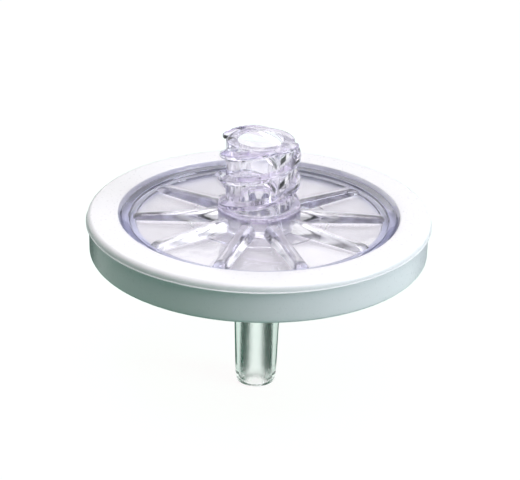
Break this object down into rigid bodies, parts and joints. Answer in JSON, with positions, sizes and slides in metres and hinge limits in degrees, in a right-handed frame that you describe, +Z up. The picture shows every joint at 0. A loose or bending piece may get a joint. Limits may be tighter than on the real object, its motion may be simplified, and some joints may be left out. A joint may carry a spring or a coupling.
{
  "type": "syringe filter",
  "caption": "Disposable syringe filter: clear ribbed housings round a membrane, white moulded rim, female Luer lock inlet and male Luer slip outlet.",
  "frame": {"origin": "centre of the outlet's tip, the lowest point of the filter, on the filter's axis", "axes": "+Z up the axis from the outlet's tip to the inlet's mouth; +X along one radial rib"},
  "size_m": [0.033, 0.033, 0.0256],
  "materials": {
    "white_plastic": "white moulded polypropylene, soft sheen",
    "clear_plastic": "clear moulded plastic with a faint lavender tint, glossy",
    "membrane_sheet": "matt white porous polymer sheet"
  },
  "bodies": {
    "root": {"overmoulded_ring": "white_plastic", "inlet_housing": "clear_plastic", "outlet_housing": "clear_plastic", "membrane": "membrane_sheet"}
  },
  "joints": []
}
